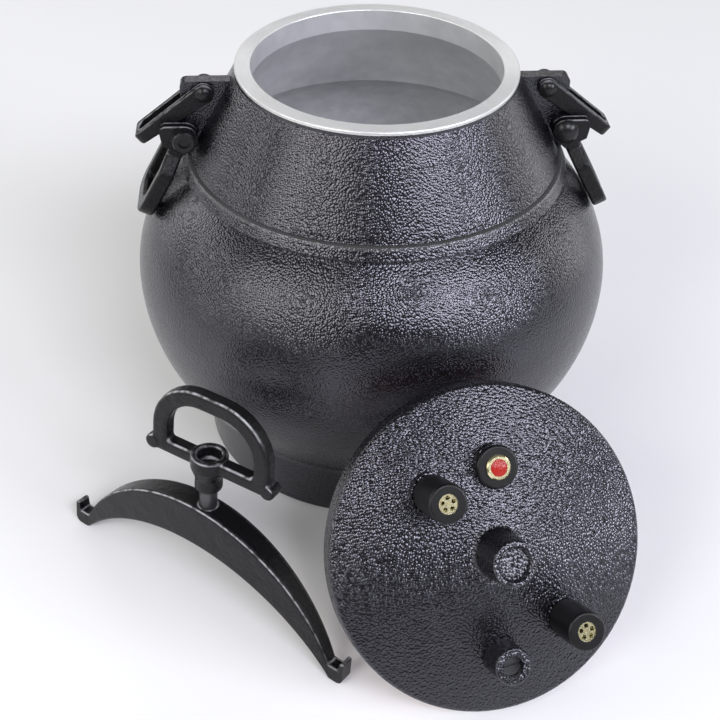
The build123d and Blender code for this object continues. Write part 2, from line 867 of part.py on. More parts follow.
def valve_cap(top):
    cap = upright_disc(cap_radius, cap_lift_gap, top)
    cap = fillet(cap.edges().group_by(Axis.Z)[-1], cap_edge)
    cap = cap - upright_disc(cap_bore, cap_lift_gap, top - cap_roof)
    return cap - upright_disc(insert_radius + fixed_gap, cap_lift_gap, top)


def valve_insert(top):
    high = top - insert_sink
    low = high - insert_thickness
    disc = upright_disc(insert_radius, low, high) - upright_disc(stem_radius + fixed_gap, low, high)
    for spot in PolarLocations(insert_hole_circle, insert_hole_count, start_angle=90):
        disc = disc - spot * upright_disc(insert_hole_radius, low, high)
    return disc


def valve_parts(name, place, height):
    top = height - pad_rise
    tail = pad_bottom(place) - pad_top(place)
    seal = upright_disc(seal_radius, 0, seal_thickness)
    seal = seal - upright_disc(shank_radius + fixed_gap, 0, seal_thickness)
    retainer = upright_disc(chamber_radius - fixed_gap, retainer_low, barrel_top)
    retainer = retainer - upright_disc(stem_radius + running_gap, retainer_low, barrel_top)
    pieces = {
        "body": valve_body(tail),
        "seal": seal,
        "nut": hexagon_nut(lock_nut_radius, tail - lock_nut_height, tail, shank_radius + fixed_gap),
        "retainer": retainer,
        "spring": valve_spring(),
        "poppet": valve_poppet(top - insert_sink),
        "cap": valve_cap(top),
        "insert": valve_insert(top),
    }
    up = Pos(place[0], place[1], pad_top(place))
    return {f"{name}_{piece}": up * solid for piece, solid in pieces.items()}


# How the lid stands

def lid_place():
    # Its edge or its spigot stands on the floor, and the spigot's upper edge lies against the belly
    lean = math.radians(lid_lean)
    bearing = math.radians(lid_bearing)
    centre_z = max(
        lid_radius * math.cos(lean),
        spigot_outer * math.cos(lean) + spigot_depth * math.sin(lean),
    )
    # Upper corners of the flange and of the spigot's chamfer, by radius and depth
    corners = [
        (lid_radius, 0),
        (spigot_outer, spigot_depth - spigot_edge),
        (spigot_outer - spigot_edge, spigot_depth),
    ]
    distance = 0.0
    for radius, depth in corners:
        corner_z = centre_z + radius * math.cos(lean) - depth * math.sin(lean)
        behind = radius * math.sin(lean) + depth * math.cos(lean)
        distance = max(distance, belly_radius_at(corner_z) + behind + lean_gap)
    origin = (distance * math.sin(bearing), -distance * math.cos(bearing), centre_z)
    across = (math.cos(bearing), math.sin(bearing), 0)
    out = (
        math.sin(bearing) * math.cos(lean),
        -math.cos(bearing) * math.cos(lean),
        math.sin(lean),
    )
    return Plane(origin=origin, x_dir=across, z_dir=out)


# Clamp yoke

seat_middle = catch_pin_x - yoke_lean_in
seat_start = seat_middle - yoke_seat_width / 2
seat_end = seat_middle + yoke_seat_width / 2
lip_end = seat_end + yoke_lip_thickness
arch_foot = seat_middle - yoke_foot_inset
under_height = yoke_arch_height - yoke_arch_depth


def yoke_side():
    crest = (0, yoke_arch_height)
    upper = ThreePointArc((-seat_start, yoke_seat_height), crest, (seat_start, yoke_seat_height))
    right = Polyline(
        (seat_start, yoke_seat_height),
        (seat_end, yoke_seat_height),
        (seat_end + yoke_lip_thickness / 3, yoke_lip_height),
        (lip_end, yoke_lip_height),
        (lip_end, 0),
        (arch_foot, 0),
    )
    under = ThreePointArc((arch_foot, 0), (0, under_height), (-arch_foot, 0))
    left = mirror(right, Plane.YZ)
    face = make_face(upper.edges() + right.edges() + under.edges() + left.edges())
    feet = [v for v in face.vertices() if abs(abs(v.X) - lip_end) < side_gap and v.Y < side_gap]
    face = fillet(feet, yoke_lip_corner)
    tips = [v for v in face.vertices() if abs(v.Y - yoke_lip_height) < side_gap]
    return fillet(tips, yoke_lip_tip)


def yoke_plan():
    # Widest at the screw and narrow at the ends, which the bails pass round
    half_mid = yoke_mid_width / 2
    half_end = yoke_end_width / 2
    far = ThreePointArc((-seat_start, half_end), (0, half_mid), (seat_start, half_end))
    near = ThreePointArc((-seat_start, -half_end), (0, -half_mid), (seat_start, -half_end))
    right = Polyline(
        (seat_start, half_end), (lip_end, half_end), (lip_end, -half_end), (seat_start, -half_end)
    )
    left = mirror(right, Plane.YZ)
    return make_face(far.edges() + near.edges() + right.edges() + left.edges())


def yoke_bar():
    side = extrude(Plane.XZ * yoke_side(), yoke_mid_width, both=True)
    plan = extrude(yoke_plan(), 2 * yoke_arch_height)
    bar = (side & plan) - upright_disc(screw_radius + running_gap, 0, 2 * yoke_arch_height)
    arrises = [e for e in bar.edges() if e.length > seat_start]
    return fillet(arrises, yoke_edge)


# Screw, thrust tip and D handle

tip_low = under_height - tip_clear
tip_top = tip_low + tip_height
screw_low = tip_top + spigot_play
screw_high = hub_top - hub_recess_depth


def thrust_tip():
    groove_low = tip_top + groove_offset
    groove_high = groove_low + groove_height
    neck = spigot_pin_radius - groove_depth
    end = tip_top + spigot_pin_length
    return turned_points(
        (0, tip_low),
        (tip_nose, tip_low),
        (tip_radius, tip_low + tip_nose_height),
        (tip_radius, tip_top),
        (spigot_pin_radius, tip_top),
        (spigot_pin_radius, groove_low),
        (neck, groove_low),
        (neck, groove_high),
        (spigot_pin_radius, groove_high),
        (spigot_pin_radius, end),
        (0, end),
    )


def retaining_pin_place():
    reach = spigot_pin_radius - groove_depth + retaining_pin_radius + running_gap
    return (reach, tip_top + groove_offset + groove_height / 2)


def clamp_screw():
    rod = upright_disc(screw_radius, screw_low, screw_high)
    socket_end = tip_top + spigot_pin_length + spigot_play
    rod = rod - upright_disc(spigot_pin_radius + running_gap, screw_low, socket_end)
    rod = rod - cross_rod(retaining_pin_radius + fixed_gap, retaining_pin_half, retaining_pin_place())
    return rod - cross_rod(cross_pin_radius + fixed_gap, 2 * screw_radius, (0, cross_pin_height))


def grip_band():
    # Closed loop of a foot bar, two legs and a crown
    face = polygon_face(
        (-grip_foot_half, grip_bar_bottom),
        (-grip_top_half, grip_top),
        (grip_top_half, grip_top),
        (grip_foot_half, grip_bar_bottom),
    )
    face = fillet(face.vertices().group_by(Axis.Y)[-1], grip_outer_corner)
    hole = polygon_face(
        (grip_leg - grip_foot_half, grip_bar_top),
        (grip_leg - grip_top_half, grip_top - grip_crown),
        (grip_top_half - grip_leg, grip_top - grip_crown),
        (grip_foot_half - grip_leg, grip_bar_top),
    )
    hole = fillet(hole.vertices().group_by(Axis.Y)[-1], grip_inner_corner)
    hole = fillet(hole.vertices().group_by(Axis.Y)[0], grip_low_corner)
    return face - hole


def grip_hub():
    return turned_points(
        (0, hub_bottom),
        (hub_low_radius, hub_bottom),
        (hub_low_radius, hub_flare_start),
        (hub_high_radius, hub_flare_end),
        (hub_high_radius, hub_top),
        (hub_recess_radius, hub_top),
        (hub_recess_radius, screw_high),
        (0, screw_high),
    )


def screw_handle():
    handle = extrude(Plane.XZ * grip_band(), grip_thickness / 2, both=True)
    faces = handle.faces().sort_by(Axis.Y)
    handle = fillet(faces[0].edges() + faces[-1].edges(), grip_edge)
    nub_z = grip_bar_bottom + nub_radius
    nub_x = nub_reach - nub_radius / 2
    for side in (-1, 1):
        handle = handle + cross_rod(nub_radius, grip_thickness / 2, (side * nub_x, nub_z))
    handle = handle - upright_disc(hub_recess_radius, screw_high, hub_top)
    handle = handle + grip_hub()
    handle = handle - upright_disc(screw_radius + fixed_gap, hub_bottom, screw_high)
    return handle - cross_rod(cross_pin_radius + fixed_gap, 2 * hub_high_radius, (0, cross_pin_height))


def cross_pin():
    return cross_rod(cross_pin_radius, hub_low_radius - running_gap, (0, cross_pin_height))


def retaining_pin():
    return cross_rod(retaining_pin_radius, retaining_pin_half - running_gap, retaining_pin_place())


# How the clamp stands

def yoke_plane(distance):
    bearing = math.radians(yoke_bearing)
    heading = math.radians(yoke_heading)
    tilt = math.radians(yoke_tilt)
    lift = yoke_end_width / 2 * math.sin(tilt)
    origin = (distance * math.sin(bearing), -distance * math.cos(bearing), lift)
    along = (math.cos(heading), math.sin(heading), 0)
    up = (-math.sin(heading) * math.sin(tilt), math.cos(heading) * math.sin(tilt), math.cos(tilt))
    return Plane(origin=origin, x_dir=along, z_dir=up)


def grip_sweep():
    # Radius and height of the circles that the turning handle's widest places describe
    legs = [(grip_foot_half, grip_bar_bottom), (nub_reach + nub_radius / 2, grip_bar_bottom + nub_radius)]
    knee = grip_top - grip_outer_corner
    share = (knee - grip_bar_bottom) / (grip_top - grip_bar_bottom)
    knee_half = grip_foot_half + (grip_top_half - grip_foot_half) * share
    legs += [(knee_half, knee), ((knee_half + grip_top_half - grip_outer_corner) / 2, grip_top)]
    legs = [(math.hypot(reach, grip_thickness / 2), height) for reach, height in legs]
    steps = (-screw_travel_down, -screw_travel_down / 2, 0, screw_travel_up / 2, screw_travel_up)
    return [(reach, height + step) for reach, height in legs for step in steps]


def yoke_place():
    # The nearest standing place at which the handle can turn without meeting the belly
    distance = belly_radius
    for _ in range(settling_steps):
        plane = yoke_plane(distance)
        up = plane.z_dir
        shortfall = -belly_radius
        for reach, height in grip_sweep():
            centre = plane.origin + up * height
            inward = Vector(-centre.X, -centre.Y, 0)
            inward = (inward - up * inward.dot(up)).normalized()
            near = centre + inward * reach
            room = math.hypot(near.X, near.Y) - belly_radius_at(near.Z) - grip_clearance
            shortfall = max(shortfall, -room)
        distance = distance + shortfall
    return yoke_plane(distance)


# The whole assembly

def assembly():
    parts = {"pot_body": pot_body()}
    bail = catch_place() * catch()
    rivet = Pos(catch_pin_x, 0, catch_pin_z) * catch_pin()
    stirrup = handle_place() * ring_handle()
    for side, flip in (("right", lambda s: s), ("left", lambda s: mirror(s, Plane.YZ))):
        parts[f"{side}_catch"] = flip(bail)
        parts[f"{side}_catch_pin"] = flip(rivet)
        parts[f"{side}_ring_handle"] = flip(stirrup)
    for piece, solid in bolt_parts().items():
        placed = Pos(handle_bolt_x, 0, handle_bolt_z) * solid
        parts[f"right_{piece}"] = placed
        parts[f"left_{piece}"] = mirror(mirror(placed, Plane.YZ), Plane.XZ)

    lid = {"lid_plate": lid_plate(), "lid_gasket": lid_gasket(), "stub_plug": stub_plug()}
    lid.update(safety_parts())
    lid.update(valve_parts("valve_a", valve_a_place, valve_a_height))
    lid.update(valve_parts("valve_b", valve_b_place, valve_b_height))
    lid_frame = lid_place()
    parts.update({name: lid_frame * solid for name, solid in lid.items()})

    yoke_frame = yoke_place()
    turn = Rot(0, 0, grip_turn)
    parts["yoke_bar"] = yoke_frame * yoke_bar()
    parts["thrust_tip"] = yoke_frame * thrust_tip()
    parts["clamp_screw"] = yoke_frame * turn * clamp_screw()
    parts["screw_handle"] = yoke_frame * turn * screw_handle()
    parts["cross_pin"] = yoke_frame * turn * cross_pin()
    parts["retaining_pin"] = yoke_frame * turn * retaining_pin()
    return parts


for name, solid in assembly().items():
    export_step(solid, f"parts/{name}.step")
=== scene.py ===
import json
import math

import bpy
from mathutils import Matrix, Vector


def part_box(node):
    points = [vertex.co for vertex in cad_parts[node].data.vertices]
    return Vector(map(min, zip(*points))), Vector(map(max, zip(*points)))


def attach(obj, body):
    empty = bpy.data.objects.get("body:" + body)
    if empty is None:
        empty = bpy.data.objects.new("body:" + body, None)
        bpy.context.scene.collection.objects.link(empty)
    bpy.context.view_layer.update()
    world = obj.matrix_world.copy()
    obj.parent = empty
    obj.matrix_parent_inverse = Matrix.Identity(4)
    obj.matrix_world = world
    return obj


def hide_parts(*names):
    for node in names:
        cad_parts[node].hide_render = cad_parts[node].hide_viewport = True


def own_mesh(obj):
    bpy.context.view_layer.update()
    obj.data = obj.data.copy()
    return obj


# Pressure cooker: open pot, leaning lid and standing clamp. Units are metres.

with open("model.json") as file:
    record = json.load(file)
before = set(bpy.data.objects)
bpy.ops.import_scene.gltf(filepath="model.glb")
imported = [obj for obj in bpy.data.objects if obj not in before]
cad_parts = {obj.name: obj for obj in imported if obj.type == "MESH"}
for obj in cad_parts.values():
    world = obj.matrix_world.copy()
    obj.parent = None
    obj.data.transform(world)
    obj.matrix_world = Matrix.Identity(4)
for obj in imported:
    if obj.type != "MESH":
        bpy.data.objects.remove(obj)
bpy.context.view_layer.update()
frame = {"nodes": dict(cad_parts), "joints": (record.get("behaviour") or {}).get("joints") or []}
nodes = frame["nodes"]
joints = {joint["name"]: joint for joint in frame["joints"]}
print("frame loaded:", len(nodes), "nodes")


# Places taken from the frame

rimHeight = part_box("pot_body")[1].z
lidAxis = Vector(joints["valve_a_lift"]["axis"]).normalized()
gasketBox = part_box("lid_gasket")
gasketMiddle = 0.0015  # of the gasket over the flange's underside
lidOrigin = (gasketBox[0] + gasketBox[1]) / 2 - lidAxis * gasketMiddle
screwAxis = Vector(joints["tip_travel"]["axis"]).normalized()


# Shader helpers. where is a node's place in the editor.

def addNode(tree, kind, where, **settings):
    node = tree.nodes.new(kind)
    node.location = where
    for name, value in settings.items():
        setattr(node, name, value)
    return node


def feed(tree, value, socket):
    # A socket is linked, a number, vector or colour is set
    if isinstance(value, bpy.types.NodeSocket):
        tree.links.new(value, socket)
    elif socket.type == "RGBA":
        socket.default_value = (*value, 1.0)
    else:
        socket.default_value = value


def newGroup(name, outputs, inputs):
    # A socket whose value is None is a vector, and so is the Normal output
    tree = bpy.data.node_groups.new(name, "ShaderNodeTree")
    for label, value in inputs.items():
        kind = "NodeSocketVector" if value is None else "NodeSocketFloat"
        socket = tree.interface.new_socket(label, in_out="INPUT", socket_type=kind)
        if value is not None:
            socket.default_value = value
    for label in outputs:
        kind = "NodeSocketVector" if label == "Normal" else "NodeSocketFloat"
        tree.interface.new_socket(label, in_out="OUTPUT", socket_type=kind)
    source = addNode(tree, "NodeGroupInput", (-900, 0)).outputs
    target = addNode(tree, "NodeGroupOutput", (900, 0)).inputs
    return tree, source, target


def mathNode(tree, operation, where, *values):
    node = addNode(tree, "ShaderNodeMath", where, operation=operation)
    for value, socket in zip(values, node.inputs):
        feed(tree, value, socket)
    return node.outputs[0]


def vectorNode(tree, operation, where, *values):
    node = addNode(tree, "ShaderNodeVectorMath", where, operation=operation)
    for value, socket in zip(values, node.inputs):
        feed(tree, value, socket)
    return node.outputs["Value" if operation == "DOT_PRODUCT" else "Vector"]


def noiseNode(tree, where, vector, size, detail=2.0, roughness=0.5):
    node = addNode(tree, "ShaderNodeTexNoise", where)
    feed(tree, vector, node.inputs["Vector"])
    feed(tree, size, node.inputs["Scale"])
    node.inputs["Detail"].default_value = detail
    node.inputs["Roughness"].default_value = roughness
    return node


def bumpNode(tree, where, height, depth, under=None):
    node = addNode(tree, "ShaderNodeBump", where)
    feed(tree, height, node.inputs["Height"])
    feed(tree, depth, node.inputs["Distance"])
    if under:
        feed(tree, under, node.inputs["Normal"])
    return node.outputs["Normal"]


def rampNode(tree, where, factor, stops):
    node = addNode(tree, "ShaderNodeValToRGB", where)
    ramp = node.color_ramp
    while len(ramp.elements) < len(stops):
        ramp.elements.new(0.5)
    for element, (position, level) in zip(ramp.elements, stops):
        element.position = position
        element.color = (level, level, level, 1)
    feed(tree, factor, node.inputs["Fac"])
    return node.outputs["Color"]


def splitNode(tree, where, vector):
    node = addNode(tree, "ShaderNodeSeparateXYZ", where)
    feed(tree, vector, node.inputs[0])
    return node.outputs


# Shared effects: each gives only normals and masks. Sizes of noise are per metre.

pebbles = dict(
    warpSize=260.0,
    warpBy=0.0004,
    smoothness=0.08,
    fineSize=900.0,
    fineDetail=3.0,
    fineShare=0.12,
    waveSize=42.0,
    waveDetail=1.0,
)


def hammeredSkinGroup(look):
    # Pebbled paint: rounded cells that vary in size, over a slow cast waviness
    tree, source, target = newGroup(
        "hammeredSkin",
        ("Normal", "Grain"),
        {"Vector": None, "Cells": 520.0, "Depth": 0.0002, "Wave Depth": 0.0004},
    )
    place = source["Vector"]
    warp = noiseNode(tree, (-700, 250), place, look["warpSize"])
    spread = (look["warpBy"],) * 3
    bent = vectorNode(tree, "MULTIPLY_ADD", (-500, 250), warp.outputs["Color"], spread, place)
    cells = addNode(tree, "ShaderNodeTexVoronoi", (-300, 250), feature="SMOOTH_F1")
    feed(tree, bent, cells.inputs["Vector"])
    feed(tree, source["Cells"], cells.inputs["Scale"])
    cells.inputs["Smoothness"].default_value = look["smoothness"]
    fine = noiseNode(tree, (-300, -50), place, look["fineSize"], look["fineDetail"])
    weak = mathNode(tree, "MULTIPLY", (-100, -50), fine.outputs["Fac"], look["fineShare"])
    hollow = cells.outputs["Distance"]
    grain = mathNode(tree, "MULTIPLY_ADD", (-80, 150), hollow, -1.0, weak)
    wave = noiseNode(tree, (-300, -300), place, look["waveSize"], look["waveDetail"])
    slow = bumpNode(tree, (150, -250), wave.outputs["Fac"], source["Wave Depth"])
    feed(tree, bumpNode(tree, (400, 100), grain, source["Depth"], slow), target["Normal"])
    feed(tree, hollow, target["Grain"])
    return tree


sandCasting = dict(dentSize=110.0, dentDetail=2.0, sandDetail=4.0, sandRoughness=0.6)


def castSkinGroup(look):
    # Rough casting under satin paint: sandy grain over shallow dents
    tree, source, target = newGroup(
        "castSkin",
        ("Normal", "Grain"),
        {"Vector": None, "Sand": 700.0, "Depth": 0.00018, "Dent Depth": 0.0006},
    )
    place = source["Vector"]
    dents = noiseNode(tree, (-400, -200), place, look["dentSize"], look["dentDetail"])
    sand = noiseNode(
        tree, (-400, 200), place, source["Sand"], look["sandDetail"], look["sandRoughness"]
    ).outputs["Fac"]
    slow = bumpNode(tree, (0, -200), dents.outputs["Fac"], source["Dent Depth"])
    feed(tree, bumpNode(tree, (300, 100), sand, source["Depth"], slow), target["Normal"])
    feed(tree, sand, target["Grain"])
    return tree


def turnedFinishGroup():
    # Concentric tool marks about the pot's own Z axis
    tree, source, target = newGroup(
        "turnedFinish", ("Normal", "Marks"), {"Vector": None, "Lines": 1400.0, "Depth": 0.00004}
    )
    rings = addNode(
        tree, "ShaderNodeTexWave", (-300, 100), wave_type="RINGS", rings_direction="Z"
    )
    feed(tree, source["Vector"], rings.inputs["Vector"])
    feed(tree, source["Lines"], rings.inputs["Scale"])
    rings.inputs["Distortion"].default_value = 1.2
    rings.inputs["Detail"].default_value = 2.0
    marks = rings.outputs["Fac"]
    feed(tree, bumpNode(tree, (200, 100), marks, source["Depth"]), target["Normal"])
    feed(tree, marks, target["Marks"])
    return tree


def toneDriftGroup():
    # Slow mask for stains and drift of colour or gloss
    tree, source, target = newGroup(
        "toneDrift", ("Mask",), {"Vector": None, "Size": 18.0, "Contrast": 1.0}
    )
    cloud = noiseNode(
        tree, (-300, 0), source["Vector"], source["Size"], detail=5.0, roughness=0.55
    )
    offMiddle = mathNode(tree, "SUBTRACT", (0, 0), cloud.outputs["Fac"], 0.5)
    scaled = mathNode(tree, "MULTIPLY", (200, 0), offMiddle, source["Contrast"])
    mask = mathNode(tree, "ADD", (400, 0), scaled, 0.5)
    mask.node.use_clamp = True
    feed(tree, mask, target["Mask"])
    return tree


# Settings of the painted highlight along the castings' upper arrises
edgeHighlightLook = dict(
    radius=0.0022,
    samples=8,
    sharpness=[(0.006, 0.0), (0.03, 1.0)],  # how far the rounded normal leaves the true one
    corner=[(0.36, 0.0), (0.5, 1.0), (0.78, 1.0), (0.9, 0.0)],  # of a fillet beside Front
    upward=[(0.35, 0.0), (0.7, 1.0)],
    spotSize=260.0,
    spots=[(0.36, 0.15), (0.56, 1.0)],
)


def paintedEdgeHighlightGroup(look):
    # Mask for a painted highlight along the upper arrises, where light would catch them
    tree, source, target = newGroup(
        "paintedEdgeHighlight", ("Mask",), {"Vector": None, "Radius": look["radius"], "Front": None}
    )
    rounded = addNode(tree, "ShaderNodeBevel", (-600, 150), samples=look["samples"])
    feed(tree, source["Radius"], rounded.inputs["Radius"])
    plain = addNode(tree, "ShaderNodeNewGeometry", (-600, -50))
    normals = plain.outputs["Normal"], rounded.outputs["Normal"]
    likeness = vectorNode(tree, "DOT_PRODUCT", (-400, 100), normals[1], normals[0])
    change = mathNode(tree, "SUBTRACT", (-200, 100), 1.0, likeness)
    edge = rampNode(tree, (-50, 100), change, look["sharpness"])
    own = []  # both normals as the piece itself sees them, so the mask rides with it
    for normal in normals:
        turned = addNode(tree, "ShaderNodeVectorTransform", (-500, 300), vector_type="NORMAL")
        turned.convert_from, turned.convert_to = "WORLD", "OBJECT"
        feed(tree, normal, turned.inputs[0])
        own.append(turned.outputs[0])
    facing = vectorNode(tree, "DOT_PRODUCT", (-400, 300), own[0], source["Front"])
    corner = rampNode(tree, (-50, 300), facing, look["corner"])
    edge = mathNode(tree, "MAXIMUM", (100, 200), edge, corner)
    height = splitNode(tree, (-400, -150), own[1])["Z"]
    upper = rampNode(tree, (-50, -150), height, look["upward"])
    noise = noiseNode(tree, (-400, -400), source["Vector"], look["spotSize"])
    spots = rampNode(tree, (-50, -400), noise.outputs["Fac"], look["spots"])
    whole = mathNode(tree, "MULTIPLY", (200, 0), edge, upper)
    feed(tree, mathNode(tree, "MULTIPLY", (400, 0), whole, spots), target["Mask"])
    return tree


hammeredSkin = hammeredSkinGroup(pebbles)
castSkin = castSkinGroup(sandCasting)
turnedFinish = turnedFinishGroup()
toneDrift = toneDriftGroup()
paintedEdgeHighlight = paintedEdgeHighlightGroup(edgeHighlightLook)
print("shared effects ready")


# Materials

def startMaterial(name):
    material = bpy.data.materials.new(name)
    material.use_nodes = True
    tree = material.node_tree
    tree.nodes.clear()
    output = addNode(tree, "ShaderNodeOutputMaterial", (900, 0))
    shader = addNode(tree, "ShaderNodeBsdfPrincipled", (550, 0))
    feed(tree, shader.outputs["BSDF"], output.inputs["Surface"])
    place = addNode(tree, "ShaderNodeTexCoord", (-900, 0)).outputs["Object"]
    return material, tree, shader.inputs, place


def placeGroup(tree, group, where, place, **values):
    node = addNode(tree, "ShaderNodeGroup", where, node_tree=group)
    feed(tree, place, node.inputs["Vector"])
    for name, value in values.items():
        node.inputs[name.replace("_", " ")].default_value = value
    return node.outputs


def blendColours(tree, where, factor, first, second):
    node = addNode(tree, "ShaderNodeMix", where, data_type="RGBA")
    feed(tree, factor, next(socket for socket in node.inputs if socket.type == "VALUE"))
    colourIn = [socket for socket in node.inputs if socket.type == "RGBA"]
    for value, socket in zip((first, second), colourIn):
        feed(tree, value, socket)
    return next(socket for socket in node.outputs if socket.type == "RGBA")


def blendValues(tree, where, factor, low, high):
    node = addNode(tree, "ShaderNodeMapRange", where)
    feed(tree, factor, node.inputs["Value"])
    node.inputs["To Min"].default_value = low
    node.inputs["To Max"].default_value = high
    return node.outputs["Result"]


paint = dict(
    valley=(0.003, 0.003, 0.004),
    crest=(0.034, 0.034, 0.040),
    wearAndPaintedLight=(0.24, 0.24, 0.25),  # crests on the worn top of the lid's centre boss
    crestBand=[(0.14, 1.0), (0.40, 0.0)],  # of the distance from a cell's middle
    specular=0.74,
    tint=(0.90, 0.885, 1.0),
    gloss=(0.15, 0.24),
    pot=dict(Cells=760.0, Depth=0.00026, Wave_Depth=0.0003),
    lid=dict(Cells=680.0, Depth=0.0004, Wave_Depth=0.0003),
    bareBand=0.0022,  # machined edge under the rim
    bareWobble=0.0008,
    bareRough=0.34,
    bareColour=(0.66, 0.66, 0.65),
)
# painted light on the pot's ridge: a lighter band over the step, painted to lift the shade in its
# corner, and a painted highlight on the crests of the lip; from, to, grey, on the crests only
ridgeLightBands = ((0.2085, 0.2115, 0.055, False), (0.2022, 0.2044, 0.17, True))


# Paints light into a band of heights: the colour turns towards the given grey there
def paintLightBand(tree, height, band, tone, strength, colour):
    low, high = band
    offset = mathNode(tree, "SUBTRACT", (-100, -800), height, (low + high) / 2)
    away = mathNode(tree, "ABSOLUTE", (0, -800), offset)
    share = mathNode(tree, "DIVIDE", (50, -800), away, high - low)
    inBand = rampNode(tree, (100, -800), share, [(0.25, 1.0), (0.5, 0.0)])
    wearAndPaintedLight = mathNode(tree, "MULTIPLY", (200, -800), inBand, strength)
    return blendColours(tree, (250, -600), wearAndPaintedLight, colour, tone)


def paintMaterial(name, grain, crestColour=paint["crest"], onPot=False):
    material, tree, shader, place = startMaterial(name)
    skin = placeGroup(tree, hammeredSkin, (-400, 200), place, **grain)
    drift = placeGroup(tree, toneDrift, (-400, -150), place, Size=14.0, Contrast=1.6)["Mask"]
    crest = rampNode(tree, (-150, 200), skin["Grain"], paint["crestBand"])
    colour = blendColours(tree, (100, 200), crest, paint["valley"], crestColour)
    rough = blendValues(tree, (100, -100), drift, *paint["gloss"])
    if onPot:
        height = splitNode(tree, (-400, -500), place)["Z"]
        # painted light: the ridge's step is lifted out of its shade and its lip gets a painted
        # highlight
        for low, high, grey, onCrests in ridgeLightBands:
            strength = crest if onCrests else 1.0
            colour = paintLightBand(tree, height, (low, high), (grey,) * 3, strength, colour)
        start = rimHeight - paint["bareBand"] - paint["bareWobble"] / 2
        edge = mathNode(tree, "MULTIPLY_ADD", (-200, -600), drift, paint["bareWobble"], start)
        bare = mathNode(tree, "GREATER_THAN", (0, -500), height, edge)
        colour = blendColours(tree, (300, 200), bare, colour, paint["bareColour"])
        duller = paint["bareRough"] - paint["gloss"][0]
        rough = mathNode(tree, "MULTIPLY_ADD", (300, -300), bare, duller, rough)
        feed(tree, bare, shader["Metallic"])
    feed(tree, colour, shader["Base Color"])
    feed(tree, rough, shader["Roughness"])
    feed(tree, skin["Normal"], shader["Normal"])
    feed(tree, paint["specular"], shader["Specular IOR Level"])
    feed(tree, paint["tint"], shader["Specular Tint"])
    return material


casting = dict(
    low=(0.003, 0.003, 0.0033),
    high=(0.009, 0.009, 0.0098),
    # colour of the painted highlight on the upper arrises
    paintedArrisHighlight=(0.40, 0.40, 0.42),
    gloss=(0.18, 0.28),
    specular=0.22,
    depth=0.00045,
    clampFront=(-0.6417, -0.7596, 0.1045),  # the way the clamp's flat side faces
)


def castMaterial(name, front=(0.0, 0.0, 0.0)):
    # front: a flat side that faces this way gets a painted highlight along its upper arris
    material, tree, shader, place = startMaterial(name)
    skin = placeGroup(tree, castSkin, (-400, 200), place, Depth=casting["depth"])
    drift = placeGroup(tree, toneDrift, (-400, -150), place, Size=60.0, Contrast=1.8)["Mask"]
    paintedArrisHighlight = placeGroup(tree, paintedEdgeHighlight, (-400, -400), place, Front=front)["Mask"]
    colour = blendColours(tree, (100, 200), skin["Grain"], casting["low"], casting["high"])
    # painted highlight: the colour turns light grey along the upper arrises
    colour = blendColours(tree, (300, 200), paintedArrisHighlight, colour, casting["paintedArrisHighlight"])
    feed(tree, colour, shader["Base Color"])
    feed(tree, blendValues(tree, (100, -100), drift, *casting["gloss"]), shader["Roughness"])
    feed(tree, skin["Normal"], shader["Normal"])
    feed(tree, casting["specular"], shader["Specular IOR Level"])
    return material


rimMetal = dict(
    low=(0.76, 0.76, 0.75), high=(0.88, 0.88, 0.875), gloss=(0.30, 0.44), metallic=0.6
)


def machinedMaterial(name):
    # The rim's turned top
    material, tree, shader, place = startMaterial(name)
    marks = placeGroup(tree, turnedFinish, (-400, 200), place)
    drift = placeGroup(tree, toneDrift, (-400, -150), place, Size=35.0, Contrast=1.4)["Mask"]
    colour = blendColours(tree, (100, 200), drift, rimMetal["low"], rimMetal["high"])
    feed(tree, colour, shader["Base Color"])
    rough = blendValues(tree, (100, -100), marks["Marks"], *rimMetal["gloss"])
    feed(tree, rough, shader["Roughness"])
    feed(tree, marks["Normal"], shader["Normal"])
    feed(tree, rimMetal["metallic"], shader["Metallic"])
    return material


bareMetal = dict(
    paintedShadeHigh=((0.44, 0.445, 0.46), (0.54, 0.545, 0.555)),  # painted shade: darker under the rim, where direct light falls on the inner wall
    paintedLightLow=((0.88, 0.885, 0.91), (0.93, 0.935, 0.94)),  # painted light: paler at the bottom, where the inner wall is in shade
    fade=(0.185, 0.245),  # heights from the painted light low down to the painted shade under the rim
    spot=(0.26, 0.265, 0.29),
    spotShare=0.2,
    gloss=(0.62, 0.48),
    metallic=0.2,
)


def bareCastMaterial(name):
    # The inside of the pot and lid: bare cast aluminium, dull and slightly stained, with painted
    # light and shade by height: paler low down, where the inner wall is in shade, and darker under
    # the rim, where direct light falls
    material, tree, shader, place = startMaterial(name)
    grain = dict(Sand=500.0, Depth=0.00006, Dent_Depth=0.0004)
    skin = placeGroup(tree, castSkin, (-400, 200), place, **grain)
    drift = placeGroup(tree, toneDrift, (-400, -150), place, Size=11.0, Contrast=1.8)["Mask"]
    mottle = placeGroup(tree, toneDrift, (-400, -800), place, Size=75.0, Contrast=3.4)["Mask"]
    paintedShadeHigh = blendColours(tree, (100, 200), drift, *bareMetal["paintedShadeHigh"])
    paintedLightLow = blendColours(tree, (100, 0), drift, *bareMetal["paintedLightLow"])
    # painted light and shade: the colour goes from paler low down to darker under the rim
    fade = addNode(tree, "ShaderNodeMapRange", (-150, -500))
    feed(tree, splitNode(tree, (-400, -500), place)["Z"], fade.inputs["Value"])
    for label, level in zip(("From Min", "From Max"), bareMetal["fade"]):
        feed(tree, level, fade.inputs[label])
    clean = blendColours(tree, (300, 100), fade.outputs["Result"], paintedLightLow, paintedShadeHigh)
    spots = mathNode(tree, "MULTIPLY", (100, -800), mottle, bareMetal["spotShare"])
    colour = blendColours(tree, (400, 0), spots, clean, bareMetal["spot"])
    feed(tree, colour, shader["Base Color"])
    feed(tree, blendValues(tree, (100, -200), drift, *bareMetal["gloss"]), shader["Roughness"])
    feed(tree, skin["Normal"], shader["Normal"])
    feed(tree, bareMetal["metallic"], shader["Metallic"])
    return material


